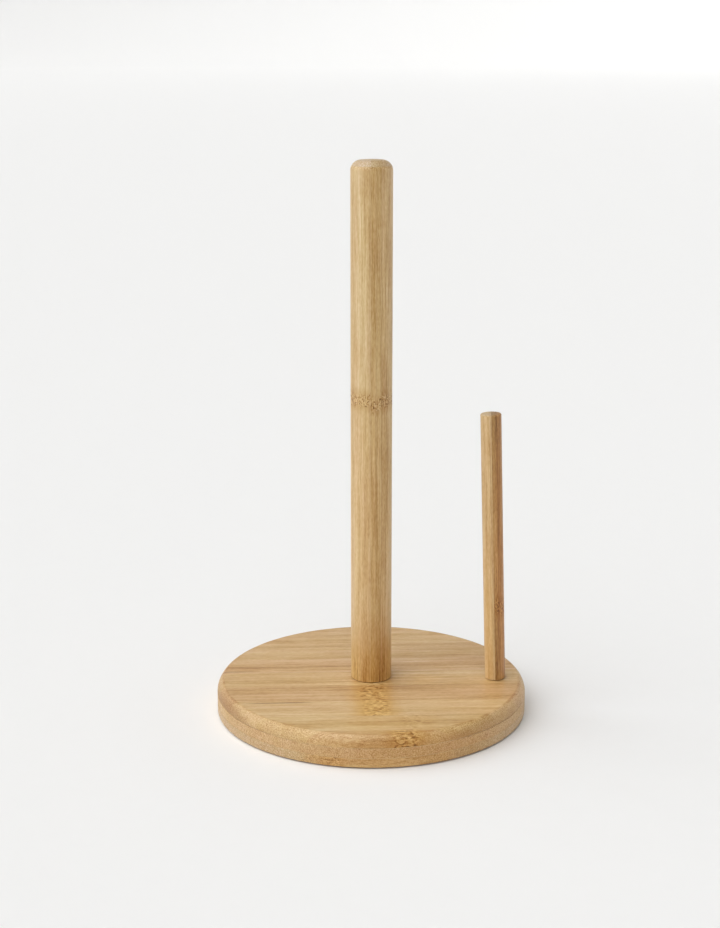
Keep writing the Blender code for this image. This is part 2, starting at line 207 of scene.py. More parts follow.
class Graph:
    """A new node material, with short names for the nodes that it needs."""

    def __init__(self, name):
        self.material = bpy.data.materials.new(name)
        self.material.use_nodes = True
        self.nodes = self.material.node_tree.nodes
        self.links = self.material.node_tree.links
        self.shader = self.nodes["Principled BSDF"]
        self.coordinates = self.nodes.new("ShaderNodeTexCoord")

    def feed(self, socket, value):
        if isinstance(value, Field):
            value = value.socket
        if isinstance(value, bpy.types.NodeSocket):
            self.links.new(value, socket)
        else:
            socket.default_value = value

    def math(self, operation, *values):
        node = self.nodes.new("ShaderNodeMath")
        node.operation = operation
        for socket, value in zip(node.inputs, values):
            self.feed(socket, value)
        return Field(self, node.outputs[0])

    def along(self, source, direction):
        """How far the source vector reaches along a direction."""
        node = self.nodes.new("ShaderNodeVectorMath")
        node.operation = "DOT_PRODUCT"
        self.feed(node.inputs[0], source)
        node.inputs[1].default_value = direction
        return Field(self, node.outputs["Value"])

    def axes(self):
        """The piece's own three coordinates, in mm."""
        place = self.coordinates.outputs["Object"]
        return [self.along(place, axis) for axis in ((1 / MM, 0, 0), (0, 1 / MM, 0), (0, 0, 1 / MM))]

    def place(self, x, y, z):
        node = self.nodes.new("ShaderNodeCombineXYZ")
        for socket, value in zip(node.inputs, (x, y, z)):
            self.feed(socket, value)
        return node.outputs[0]

    def noise(self, x, y, z, detail=1.0, roughness=0.5):
        """Noise about 0, mostly between -0.3 and 0.3."""
        node = self.nodes.new("ShaderNodeTexNoise")
        self.feed(node.inputs["Vector"], self.place(x, y, z))
        node.inputs["Scale"].default_value = 1.0
        node.inputs["Detail"].default_value = detail
        node.inputs["Roughness"].default_value = roughness
        return Field(self, node.outputs[0]) - 0.5

    def cells(self, x, y, z):
        """Distance to the nearest of many scattered points, one to each unit cube."""
        node = self.nodes.new("ShaderNodeTexVoronoi")
        self.feed(node.inputs["Vector"], self.place(x, y, z))
        node.inputs["Scale"].default_value = 1.0
        return Field(self, node.outputs["Distance"])

    def step(self, value, low, high):
        """0 below low, 1 above high, and smooth between; falling if low is above high."""
        node = self.nodes.new("ShaderNodeMapRange")
        node.interpolation_type = "SMOOTHSTEP"
        self.feed(node.inputs["Value"], value)
        rising = low < high
        node.inputs["From Min"].default_value = min(low, high)
        node.inputs["From Max"].default_value = max(low, high)
        node.inputs["To Min"].default_value = 0.0 if rising else 1.0
        node.inputs["To Max"].default_value = 1.0 if rising else 0.0
        return Field(self, node.outputs["Result"])

    def ramp(self, value, stops, interpolation="LINEAR"):
        """A colour ramp: stops are (position, colour), a colour being three or four numbers."""
        node = self.nodes.new("ShaderNodeValToRGB")
        self.feed(node.inputs[0], value)
        node.color_ramp.interpolation = interpolation
        elements = node.color_ramp.elements
        while len(elements) < len(stops):
            elements.new(1.0)
        for element, (position, colour) in zip(elements, stops):
            element.position = position
            element.color = colour if len(colour) == 4 else (*colour, 1.0)
        return node.outputs

    def split(self, colour):
        node = self.nodes.new("ShaderNodeSeparateColor")
        self.feed(node.inputs[0], colour)
        return [Field(self, socket) for socket in node.outputs]

    def mix(self, share, first, second, kind="MIX"):
        """Blend two colours by share, from 0, all first, to 1."""
        node = self.nodes.new("ShaderNodeMix")
        node.data_type = "RGBA"
        node.blend_type = kind
        self.feed(node.inputs[0], share)
        for socket, value in ((node.inputs[6], first), (node.inputs[7], second)):
            self.feed(socket, (*value, 1.0) if isinstance(value, tuple) and len(value) == 3 else value)
        return node.outputs[2]

    def tinted(self, colour, share, tint):
        """A colour multiplied by a tint, by share, from 0, not at all, to 1."""
        return self.mix(1.0, colour, self.mix(share, WHITE, tint), "MULTIPLY")

    def scaled(self, colour, factor):
        """A colour made lighter or darker by a number."""
        node = self.nodes.new("ShaderNodeVectorMath")
        node.operation = "SCALE"
        self.feed(node.inputs[0], colour)
        self.feed(node.inputs["Scale"], factor)
        return node.outputs[0]

    def bump(self, height, distance):
        """Relief: height is 0 to 1, and distance what 1 stands for, in metres."""
        node = self.nodes.new("ShaderNodeBump")
        node.inputs["Strength"].default_value = 1.0
        node.inputs["Distance"].default_value = distance
        self.feed(node.inputs["Height"], height)
        self.links.new(node.outputs[0], self.shader.inputs["Normal"])


STRIP_REACH = 100.0  # mm to either side of the middle that a strip table covers
KNOT_REACH = 400.0  # mm to either side of the origin where a knot may lie
INTERNODE = 900.0  # mm from one knot of a strip to its next
SEAM_FADE = 7.0  # mm over which a seam comes and goes
SPREAD_LOW, SPREAD_HIGH = -0.6, 1.4  # what the ends of the bamboo's colour ramp stand for

# How long and how wide the marks in the wood are, in mm
FINE_STREAK, MIDDLE_STREAK = (22.0, 0.39), (46.0, 1.0)
BROAD_STREAK, WIDE_STREAK = (130.0, 3.4), (200.0, 7.0)
DASH = (2.8, 0.5)
GRIT = 0.55
WOOD_RELIEF = 0.05 * MM

DEEP = (0.225, 0.108, 0.032)
DARK = (0.445, 0.245, 0.082)
PLAIN = (0.585, 0.382, 0.174)
PALE = (0.695, 0.515, 0.292)
STRAW = (0.80, 0.63, 0.40)
SEAM_TINT = (0.32, 0.12, 0.0)
WORN_TINT = (0.80, 0.69, 0.58)
# The upper glue film's dark colour is partly the glue's own and partly painted shade in the opened joint.
FLUSH_GLUE, DARK_GLUE_AND_PAINTED_SHADE, PALE_GLUE = (0.52, 0.34, 0.15), (0.35, 0.21, 0.10), (0.50, 0.32, 0.14)
YELLOW_TINT, RED_TINT = (1.0, 0.99, 0.87), (1.015, 0.965, 0.98)  # of strips with a warmth of 0 and of 1
BAMBOO_COLOURS = ((-0.45, DEEP), (0.08, DARK), (0.5, PLAIN), (0.93, PALE), (1.35, STRAW))


def seam_lines(graph, u, v, drift, seams):
    """Thin dark lines along the fibres that come and go."""
    lines = None
    for middle_place, seam_strength, seam_from, seam_to in seams:
        distance = graph.math("ABSOLUTE", v + drift * 0.15 - middle_place)
        half = (seam_to - seam_from) / 2
        reach = graph.math("ABSOLUTE", u - (seam_from + half))
        ends = graph.step(reach, half + SEAM_FADE, half - SEAM_FADE)
        line = graph.step(distance, 1.3, 0.2) * ends * seam_strength
        lines = line if lines is None else lines + line
    return lines


def patch_share(graph, centre, reach, ragged, broad):
    """How much of a patch's tint there is, in a round region that ends along ragged streaks."""
    place = graph.coordinates.outputs["Object"]
    squares = None
    for axis in range(3):
        direction = [0.0, 0.0, 0.0]
        direction[axis] = 1 / (MM * reach[axis])
        offset_there = graph.along(place, direction) - centre[axis] / reach[axis]
        square = offset_there * offset_there
        squares = square if squares is None else squares + square
    return graph.step(squares + ragged * 0.05 + broad * 0.5, 1.5, 0.1)


def worn_share(graph, u, v, w, ragged, worn):
    """How much of the worn tint there is about the radius worn, in mm."""
    x, y, _ = graph.axes()
    radius = graph.math("SQRT", x * x + y * y)
    line = graph.step(graph.math("ABSOLUTE", radius - worn + ragged * 0.1), 1.1, 0.2)
    return line * graph.step(graph.noise(u / 7.0, v / 7.0, w / 7.0, detail=3.0), -0.15, 0.2)


def bamboo(name, fibre, across, strips, seams=(), patches=(), knot_width=4.5, knot_pores=1.5, worn=None,
           end_tint=(0.955, 1.03, 1.24), knot_tint=(0.92, 0.81, 0.54), coarse=None, edge_grit=0.0):
    """Laminated bamboo. fibre and across are directions in the piece's own axes: along the fibres, and
    square to the glue seams between strips. All lengths are in mm.

    strips are (start, tone, warmth, knot, strength): where the strip starts across the fibres, its
    lightness about 1, its warmth from 0 to 1, where its culm knot lies along the fibres and how much it
    shows. seams are (place, strength, from, to): a dark line at a place across, and where along the fibres
    it shows. patches are (centre, reach, tint) in the piece's own axes: places of another colour, fading
    out all round. Some patches are the wood's own colour, and some are painted light and painted shade.

    knot_width is half the width of a knot, and knot_pores how dark its pores are. worn is the radius at
    which an edge of a turned piece has gone darker with handling. end_tint tints the cut ends and knot_tint
    the wood about a knot. coarse is (full, none): the fibres show strongly up to full along the piece, and
    as usual from none. edge_grit is how gritty the faces across the strips are.
    """
    graph = Graph(name)
    fibre, across = Vector(fibre).normalized(), Vector(across).normalized()
    through = fibre.cross(across)
    place = graph.coordinates.outputs["Object"]
    u = graph.along(place, fibre / MM)
    v = graph.along(place, across / MM)
    w = graph.along(place, through / MM)

    # Which strip this is, and what it is like
    stops = []
    for start, tone, warmth, knot, strength in strips:
        position = (start + STRIP_REACH) / (2 * STRIP_REACH)
        stops.append((position, (tone / 2, warmth, (knot + KNOT_REACH) / (2 * KNOT_REACH), strength)))
    table = graph.ramp((v + STRIP_REACH) / (2 * STRIP_REACH), stops, "CONSTANT")
    tone, warmth, knot = graph.split(table[0])
    strength = Field(graph, table[1])
    tone = tone * 2.0
    offset = tone * 41.0 + warmth * 17.0 + knot * 23.0
    knot = knot * (2 * KNOT_REACH) - KNOT_REACH
    from_knot = graph.math("WRAP", u - knot, INTERNODE / 2, -INTERNODE / 2)

    # A knot is a ragged band across the strip, where the fibres swirl
    ragged = graph.noise(u / 9.0, v / 1.6, w / 1.6, detail=2.0) * 9.0
    beside = graph.math("ABSOLUTE", from_knot + ragged)
    in_knot = graph.step(beside, knot_width * 1.2, knot_width * 0.5) * strength
    near_knot = graph.step(beside, knot_width * 2.2, knot_width * 0.6) * strength
    swirl_v = graph.noise(u / 6.0, v / 3.0, w / 3.0)
    swirl_w = graph.noise(u / 6.0, v / 3.0, w / 3.0 + 31.0)
    v_knot = v + swirl_v * 5.0
    w_knot = w + swirl_w * 5.0

    # Elsewhere they wander only a little
    drift = graph.noise(u / 90.0, v / 30.0, w / 30.0 + offset) * 1.6
    ripple = graph.noise(u / 14.0, v / 4.0, w / 4.0 + offset) * 0.25
    v_fibre = v + drift + ripple + swirl_v * near_knot * 2.2
    w_fibre = w + drift * 0.7 + ripple

    across_fibre = graph.math("ABSOLUTE", graph.along(graph.coordinates.outputs["Normal"], fibre))
    cut_end = graph.step(across_fibre, 0.08, 0.55)
    long_face = 1.0 - cut_end

    def streaks(size, shift, **shape):
        length, width = size
        return graph.noise(u / length + shift, v_fibre / width, w_fibre / width, **shape)

    # Streaks, from hair-fine to as wide as a finger
    other_offset = offset * -1.0
    fine = streaks(FINE_STREAK, offset)
    middle = streaks(MIDDLE_STREAK, other_offset)
    broad = streaks(BROAD_STREAK, offset, detail=3.0, roughness=0.6)
    wide = streaks(WIDE_STREAK, other_offset)
    cloud = graph.noise(u / 14.0, v / 6.0, w / 6.0 + offset, detail=2.0)
    streak = fine * (1.10 - cut_end * 0.40) + middle * (0.32 - cut_end * 0.24)
    streak = streak + broad * (1.10 - cut_end * 0.95) + cloud * (0.34 - cut_end * 0.14)
    streak = streak + wide * long_face * 0.7
    dashes = streaks(DASH, 0.0) * long_face * 0.8
    end_shows = graph.step(across_fibre, 0.04, 0.35)
    if edge_grit > 0.0:
        across_strips = graph.math("ABSOLUTE", graph.along(graph.coordinates.outputs["Normal"], across))
        end_shows = graph.math("MAXIMUM", end_shows, graph.step(across_strips, 0.15, 0.6) * edge_grit)
    grit = graph.noise(u / GRIT, v / GRIT, w / GRIT) * end_shows * 1.9 + dashes

    # Fibre bundles: long dark lines along the fibres, dots where they are cut across
    bundle_distance = graph.cells(u / 45.0 + offset, v_fibre / 0.85, w_fibre / 0.85)
    bundle = graph.step(bundle_distance, 0.42, 0.12)
    thread = graph.step(graph.cells(u / 80.0 - offset, v_fibre / 2.6, w_fibre / 1.3), 0.15, 0.04)

    # In a knot, short broken dashes, dark pores and the pale rings round them
    dash_width = 0.3 + knot_width * 0.12
    dash = graph.noise(u / (knot_width * 0.55), v_knot / dash_width, w_knot / dash_width, detail=2.0)
    pore_spacing = knot_width * 0.43
    pore_distance = graph.cells(u / (knot_width * 0.65), v_knot / pore_spacing, w_knot / pore_spacing)
    pore = graph.step(pore_distance, 0.30, 0.14)
    ring = graph.step(pore_distance, 0.56, 0.46) - graph.step(pore_distance, 0.40, 0.32)
    dash = graph.math("MINIMUM", dash * 5.2, 0.45)
    knot_marks = (dash - pore * knot_pores + ring * 0.34 + 0.02) * in_knot

    contrast = 1.0
    if coarse is not None:
        contrast = 1.0 + graph.step(u + ragged, coarse[1], coarse[0]) * 0.75
    lines = bundle * (long_face * 0.16 + cut_end * 0.30) + thread * long_face * 0.30
    spread = (streak + grit - lines) * contrast + knot_marks + (tone - 1.0) * 2.2 + 0.54
    span = SPREAD_HIGH - SPREAD_LOW
    stops = [((value - SPREAD_LOW) / span, colour) for value, colour in BAMBOO_COLOURS]
    colour = graph.ramp((spread - SPREAD_LOW) / span, stops)[0]
    hue = graph.noise(u / 55.0, v / 5.0, w / 5.0 - offset)
    hue = warmth + hue * 1.2
    colour = graph.mix(1.0, colour, graph.mix(hue, YELLOW_TINT, RED_TINT), "MULTIPLY")
    colour = graph.tinted(colour, near_knot, knot_tint)
    colour = graph.tinted(colour, graph.step(cut_end, 0.75, 1.0), end_tint)
    for centre, reach, patch_tint in patches:
        colour = graph.tinted(colour, patch_share(graph, centre, reach, ragged, broad), patch_tint)
    if worn is not None:
        colour = graph.tinted(colour, worn_share(graph, u, v, w, ragged, worn), WORN_TINT)
    seam_line = seam_lines(graph, u, v, drift, seams)
    if seam_line is not None:
        colour = graph.tinted(colour, seam_line, SEAM_TINT)
    graph.feed(graph.shader.inputs["Base Color"], colour)

    graph.feed(graph.shader.inputs["Roughness"], 0.42 - streak * 0.15 + cut_end * 0.08 + in_knot * 0.08)
    relief = 0.5 + fine * 0.25 - bundle * 0.35 - in_knot * pore * 0.8
    if seam_line is not None:
        relief = relief - seam_line
    graph.bump(relief, WOOD_RELIEF)
    return graph.material


def glue(name, hidden, shown):
    """A thin film of glue between two plies, with a little wood dust in it. Its colour is hidden in front,
    where it is flush with the wood, and shows at the sides and the back, where the joint has opened. The
    upper film's darker colour there is partly the glue's own and partly painted shade in the open joint.
    """
    graph = Graph(name)
    x, y, z = graph.axes()
    speck = graph.noise(x / 1.4, y / 1.4, z / 0.4, detail=3.0, roughness=0.6)
    stretch = graph.noise(x / 12.0, y / 12.0, z / 2.0)
    # Where the joint has opened: the upper film turns darker here, partly as painted shade.
    side = graph.step(y / graph.math("SQRT", x * x + y * y) + stretch * 0.4, -JOINT_FRONT, -JOINT_SIDE)
    colour = graph.mix(side, hidden, shown)
    graph.feed(graph.shader.inputs["Base Color"], graph.scaled(colour, 1.0 + speck * 1.6))
    graph.feed(graph.shader.inputs["Roughness"], 0.6 + speck * 0.4)
    graph.bump(speck, 0.05 * MM)
    return graph.material


def rubber():
    """Pad rubber: dark, matt and finely pebbled."""
    graph = Graph("pad_rubber")
    x, y, z = graph.axes()
    pebble = graph.cells(x / 0.55, y / 0.55, z / 0.55)
    dust = graph.noise(x / 2.5, y / 2.5, z / 2.5, detail=4.0, roughness=0.7)
    colour = graph.mix(graph.step(dust, -0.05, 0.3), (0.045, 0.042, 0.040), (0.105, 0.098, 0.090))
    graph.feed(graph.shader.inputs["Base Color"], graph.scaled(colour, 1.0 + pebble * 0.25))
    graph.feed(graph.shader.inputs["Roughness"], 0.72 + dust * 0.3)
    graph.bump(pebble, 0.10 * MM)
    return graph.material


def plated(name, colour, cloud_colour):
    """Zinc plating over a turned piece: fine rings round its axis, and a cloudy passivated tint."""
    graph = Graph(name)
    x, y, z = graph.axes()
    radius = graph.math("SQRT", x * x + y * y)
    rings = graph.noise(radius / 0.11, x / 9.0, z / 0.11)
    clouds = graph.noise(x / 2.2, y / 2.2, z / 2.2, detail=4.0, roughness=0.65)
    scratch = graph.noise(x / 0.12, y / 3.0, z / 0.8, detail=2.0)
    tinted = graph.mix(graph.step(clouds, -0.22, 0.22), colour, cloud_colour)
    graph.feed(graph.shader.inputs["Base Color"], graph.scaled(tinted, 1.0 + rings * 0.25 + scratch * 0.2))
    graph.shader.inputs["Metallic"].default_value = 1.0
    graph.feed(graph.shader.inputs["Roughness"], 0.34 + clouds * 0.35 + rings * 0.25)
    graph.bump(0.5 + rings + scratch * 0.6, 0.02 * MM)
    return graph.material


def arc(centre_x, centre_z, radius, start, end, count):
    """Points (x, z) on a round stretch of a profile, from angle start to angle end."""
    points = []
    for i in range(count + 1):
        angle = start + (end - start) * i / count
        points.append((centre_x + radius * math.cos(angle), centre_z + radius * math.sin(angle)))
    return points


def upper_round(radius, height, rounding, count):
    """The rounded upper edge of a piece of that radius and height."""
    return arc(radius - rounding, height - rounding, rounding, math.pi / 2, 0.0, count)


def lower_round(radius, height, rounding, count):
    return arc(radius - rounding, height + rounding, rounding, 0.0, -math.pi / 2, count)


def eased(before, corner, after, count=6):
    """A corner of a profile made soft: a curve from before to after that bends towards the corner."""
    points = []
    for i in range(count + 1):
        t = i / count
        points.append(tuple(
            (1 - t) ** 2 * a + 2 * t * (1 - t) * b + t**2 * c for a, b, c in zip(before, corner, after)
        ))
    return points


def lathe(profile, sides, reshape=None):
    """A turned mesh. profile is (radius, height) points, down the outer side first. One that starts off the
    axis is closed on itself round a bore. reshape may move a point (radius, angle, height).
    """
    mesh = bmesh.new()
    rings = []
    for radius, height in profile:
        if radius < SAME_PLACE:
            rings.append([mesh.verts.new((0.0, 0.0, height))])
            continue
        ring = []
        for i in range(sides):
            angle = math.tau * i / sides
            r, h = reshape(radius, angle, height) if reshape else (radius, height)
            ring.append(mesh.verts.new((r * math.cos(angle), r * math.sin(angle), h)))
        rings.append(ring)
    pairs = list(zip(rings, rings[1:]))
    if len(rings[0]) > 1:
        pairs.append((rings[-1], rings[0]))
    for upper, lower in pairs:
        for i in range(sides):
            j = (i + 1) % sides
            corners = [ring[k % len(ring)] for ring, k in ((upper, i), (lower, i), (lower, j), (upper, j))]
            mesh.faces.new(dict.fromkeys(corners))
    return mesh


def linked(name, data):
    made = bpy.data.objects.new(name, data)
    bpy.context.scene.collection.objects.link(made)
    return made


def solid(name, mesh):
    """An object from a closed bmesh."""
    bmesh.ops.recalc_face_normals(mesh, faces=mesh.faces)
    data = bpy.data.meshes.new(name)
    mesh.to_mesh(data)
    mesh.free()
    return linked(name, data)


def soften(data):
    """Shade a mesh smooth but for its real edges."""
    data.shade_smooth()
    data.set_sharp_from_angle(angle=SHARP_ANGLE)


def turned(name, profile, sides, finish, reshape=None):
    """A turned piece, with its material."""
    piece = solid(name, lathe(profile, sides, reshape))
    soften(piece.data)
    piece.data.materials.append(finish)
    return piece


def cutter(name, mesh, place=None):
    """An object to cut with, from a bmesh."""
    if place is not None:
        bmesh.ops.transform(mesh, matrix=place, verts=mesh.verts)
    return solid(name, mesh)


def cylinder_cutter(name, radius, low, high, sides=SMALL_SIDES, place=None):
    return cutter(name, lathe([(0.0, high), (radius, high), (radius, low), (0.0, low)], sides), place)


def cut(piece, cutters):
    """Cut the piece, make the result its own mesh, and throw the cutters away."""
    for shape in cutters:
        boolean = piece.modifiers.new(shape.name, "BOOLEAN")
        boolean.operation = "DIFFERENCE"
        boolean.solver = "EXACT"
        boolean.object = shape
    bpy.context.view_layer.update()
    graph = bpy.context.evaluated_depsgraph_get()
    data = bpy.data.meshes.new_from_object(piece.evaluated_get(graph))
    data.name = piece.name
    piece.modifiers.clear()
    piece.data = data
    soften(data)
    for shape in cutters:
        bpy.data.objects.remove(shape, do_unlink=True)


def arm_matrix(origin):
    return Matrix.Translation(origin) @ Matrix.Rotation(-ARM_LEAN, 4, "Y")


def screw_hole_cutter():
    return cylinder_cutter(
        "screw_hole_cutter", SCREW_HOLE_RADIUS, -CUT_REACH, SCREW_LENGTH, place=arm_matrix(SCREW_PLACE)
    )


def countersink_cutter():
    """The seat of the screw's head, a clearance wider than the head, open downwards."""
    rim = SCREW_HEAD_RIM + CLEARANCE
    widest = SCREW_HEAD_RADIUS + CLEARANCE
    profile = [
        (0.0, rim + SCREW_HEAD_CONE),
        (SCREW_HOLE_RADIUS, rim + SCREW_HEAD_CONE),
        (widest, rim),
        (widest, -CUT_REACH),
        (0.0, -CUT_REACH),
    ]
    return cutter("countersink_cutter", lathe(profile, SMALL_SIDES), arm_matrix(SCREW_PLACE))


def joint_share(angle):
    """How far the joint under the top ply has opened: not at all in front, fully at the sides and back."""
    front = math.cos(angle + math.pi / 2)
    share = min(1.0, max(0.0, (JOINT_FRONT - front) / (JOINT_FRONT - JOINT_SIDE)))
    waves = math.sin(7 * angle) + math.sin(13 * angle + 1.0) + math.sin(29 * angle + 2.0)
    return share * (0.82 + 0.06 * waves)


def joint_edge(radius, angle, height):
    """The arris along the joint is there only where the joint has opened."""
    if abs(radius - (BOARD_RADIUS - JOINT_ARRIS)) < SAME_PLACE:
        radius = BOARD_RADIUS - JOINT_ARRIS * joint_share(angle)
    return radius, height


def make_top_ply(finish):
    """The rim is one arc, upright at the joint, and its edge with the flat face is softened by sanding."""
    height = BOARD_TOP - TOP_PLY_LOW
    sweep = 2 * math.atan(TOP_FACE_INSET / height)
    radius = height / math.sin(sweep)
    rim = arc(BOARD_RADIUS - radius, TOP_PLY_LOW, radius, sweep, 0.0, RIM_STEPS)
    corner = (BOARD_RADIUS - TOP_FACE_INSET, BOARD_TOP)
    inner = (corner[0] - RIM_EASING, BOARD_TOP)
    profile = [(BOLT_HOLE_RADIUS, BOARD_TOP)]
    profile += eased(inner, corner, rim[RIM_EASED_STEPS])
    profile += rim[RIM_EASED_STEPS + 1:-1]
    profile += [
        (BOARD_RADIUS, TOP_PLY_LOW + JOINT_ARRIS),
        (BOARD_RADIUS - JOINT_ARRIS, TOP_PLY_LOW),
        (BOLT_HOLE_RADIUS, TOP_PLY_LOW),
    ]
    ply = turned("board_top_ply", profile, BOARD_SIDES, finish, joint_edge)
    cut(ply, [screw_hole_cutter()])
    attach(ply, "root")
    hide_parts("base_top_ply")


def make_core_ply(finish):
    profile = [
        (BOLT_HOLE_RADIUS, CORE_HIGH),
        (BOARD_RADIUS - JOINT_ARRIS, CORE_HIGH),
        (BOARD_RADIUS, CORE_HIGH - JOINT_ARRIS),
        (BOARD_RADIUS, CORE_LOW),
        (BOLT_HOLE_RADIUS, CORE_LOW),
    ]
    ply = turned("board_core_ply", profile, BOARD_SIDES, finish, joint_edge)
    cut(ply, [screw_hole_cutter()])
    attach(ply, "root")
    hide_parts("base_core_ply")


def make_bottom_ply(finish):
    profile = [(COUNTERBORE_RADIUS, BOTTOM_HIGH), (BOARD_RADIUS, BOTTOM_HIGH)]
    profile += lower_round(BOARD_RADIUS, BOTTOM_LOW, UNDERSIDE_ARRIS, SMALL_ROUND_STEPS)
    profile += [
        (COUNTERBORE_RADIUS + COUNTERBORE_CHAMFER, BOTTOM_LOW),
        (COUNTERBORE_RADIUS, BOTTOM_LOW + COUNTERBORE_CHAMFER),
    ]
    ply = turned("board_bottom_ply", profile, BOARD_SIDES, finish)
    cutters = [screw_hole_cutter(), countersink_cutter()]
    for i in range(1, 5):
        low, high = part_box(f"foot_pad_{i}")
        middle = (low + high) / 2
        radius = (high.x - low.x) / 2 + CLEARANCE
        cutters.append(cylinder_cutter(
            f"pad_cutter_{i}", radius, -CUT_REACH, high.z + CLEARANCE,
            place=Matrix.Translation((middle.x, middle.y, 0.0)),
        ))
    cut(ply, cutters)
    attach(ply, "root")
    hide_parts("base_bottom_ply")


def make_glue_film(name, low, high, recess, finish):
    """The film fills the joint and lies a little back from the rim, by recess(angle)."""

    def reshape(radius, angle, height):
        if radius > BOARD_RADIUS / 2:
            radius -= recess(angle)
        return radius, height

    profile = [(BOLT_HOLE_RADIUS, high), (BOARD_RADIUS, high), (BOARD_RADIUS, low), (BOLT_HOLE_RADIUS, low)]
    film = turned(name, profile, BOARD_SIDES, finish, reshape)
    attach(film, "root")


def make_post(finish):
    profile = [(0.0, POST_HIGH)]
    profile += upper_round(POST_RADIUS, POST_HIGH, POST_TOP_ROUND, ROUND_STEPS)
    profile += [
        (POST_RADIUS, POST_LOW + POST_FOOT_ARRIS),
        (POST_RADIUS - POST_FOOT_ARRIS, POST_LOW),
        (POST_BORE_RADIUS, POST_LOW),
        (POST_BORE_RADIUS, POST_LOW + POST_BORE_DEPTH),
        (0.0, POST_LOW + POST_BORE_DEPTH),
    ]
    post = turned("post", profile, POST_SIDES, finish)
    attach(post, "root")
    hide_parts("centre_post")


def make_arm(finish):
    profile = [(0.0, ARM_LENGTH)]
    profile += upper_round(ARM_RADIUS, ARM_LENGTH, ARM_TOP_ROUND, SMALL_ROUND_STEPS)
    profile += [
        (ARM_RADIUS, ARM_FOOT_ARRIS),
        (ARM_RADIUS - ARM_FOOT_ARRIS, 0.0),
        (SCREW_HOLE_RADIUS, 0.0),
        (SCREW_HOLE_RADIUS, ARM_PILOT_DEPTH),
        (0.0, ARM_PILOT_DEPTH),
    ]
    arm = turned("arm", profile, ARM_SIDES, finish)
    arm.matrix_world = arm_matrix(ARM_FOOT)
    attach(arm, "root")
    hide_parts("side_arm")


def threaded(radius, low, high, pitch):
    """The rings of a threaded stretch of a profile, from high down to low."""
    count = max(1, round((high - low) / pitch * THREAD_STEPS))
    return [(radius, high - (high - low) * i / count) for i in range(count + 1)]


def thread(depth, pitch, low, high):
    """A reshape that cuts a right-hand thread between low and high. A negative depth cuts outwards, into
    the wall of a bore.
    """

    def reshape(radius, angle, height):
        if low < height < high:
            fade = min(1.0, (height - low) / pitch, (high - height) / pitch)
            wave = 0.5 - 0.5 * math.cos(math.tau * height / pitch - angle)
            radius -= depth * fade * wave
        return radius, height

    return reshape


def replace(piece, node, place=None):
    if place is not None:
        piece.matrix_world = place
    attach(piece, "root")
    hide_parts(node)


def make_bolt(finish):
    """Button-head bolt, head down, with a hexagon socket."""
    low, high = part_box("post_bolt")
    head_top = low.z + BOLT_HEAD_HEIGHT
    shank_top = high.z - BOLT_TIP_CHAMFER
    profile = [(0.0, high.z), (BOLT_RADIUS - BOLT_TIP_CHAMFER, high.z)]
    profile += threaded(BOLT_RADIUS, head_top, shank_top, BOLT_PITCH)
    profile += [(high.x, head_top)]
    profile += lower_round(high.x, low.z, BOLT_HEAD_ROUND, BOLT_HEAD_STEPS)
    profile += [(0.0, low.z)]
    relief = thread(BOLT_THREAD_DEPTH, BOLT_PITCH, head_top, shank_top)
    bolt = turned("bolt", profile, SMALL_SIDES, finish, relief)
    cut(bolt, [cylinder_cutter(
        "hex_cutter", HEX_SOCKET_RADIUS, low.z - CUT_REACH, low.z + HEX_SOCKET_DEPTH, sides=6
    )])
    replace(bolt, "post_bolt")


def make_washer(finish):
    """Stamped washer: its upper edge is rolled, its lower one only broken."""
    low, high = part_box("post_washer")
    profile = [(BOLT_HOLE_RADIUS + WASHER_BROKEN, high.z)]
    profile += upper_round(high.x, high.z, WASHER_ROLLED, FINE_ROUND_STEPS)
    profile += [
        (high.x, low.z + WASHER_BROKEN),
        (high.x - WASHER_BROKEN, low.z),
        (BOLT_HOLE_RADIUS + WASHER_BROKEN, low.z),
        (BOLT_HOLE_RADIUS, low.z + WASHER_BROKEN),
        (BOLT_HOLE_RADIUS, high.z - WASHER_BROKEN),
    ]
    replace(turned("washer", profile, SMALL_SIDES, finish), "post_washer")


def make_insert(finish):
    """Sleeve with a coarse wood thread outside and the bolt's thread inside."""
    low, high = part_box("post_insert_nut")
    crest = high.x
    bore_low, bore_high = low.z + INSERT_EDGE, high.z - INSERT_EDGE
    profile = [(BOLT_HOLE_RADIUS + INSERT_EDGE, high.z), (crest - INSERT_THREAD_DEPTH, high.z)]
    profile += threaded(crest, low.z + INSERT_PLAIN_END, high.z - INSERT_PLAIN_END, INSERT_PITCH)
    profile += [(crest - INSERT_THREAD_DEPTH, low.z), (BOLT_HOLE_RADIUS + INSERT_EDGE, low.z)]
    profile += threaded(BOLT_HOLE_RADIUS, bore_low, bore_high, BOLT_PITCH)[::-1]
    wall = (crest + BOLT_HOLE_RADIUS) / 2
    outer = thread(INSERT_THREAD_DEPTH, INSERT_PITCH, low.z, high.z)
    inner = thread(-INSERT_EDGE, BOLT_PITCH, bore_low, bore_high)

    def relief(radius, angle, height):
        if radius > wall:
            return outer(radius, angle, height)
        return inner(radius, angle, height)

    insert = turned("insert_nut", profile, SMALL_SIDES, finish, relief)
    replace(insert, "post_insert_nut")


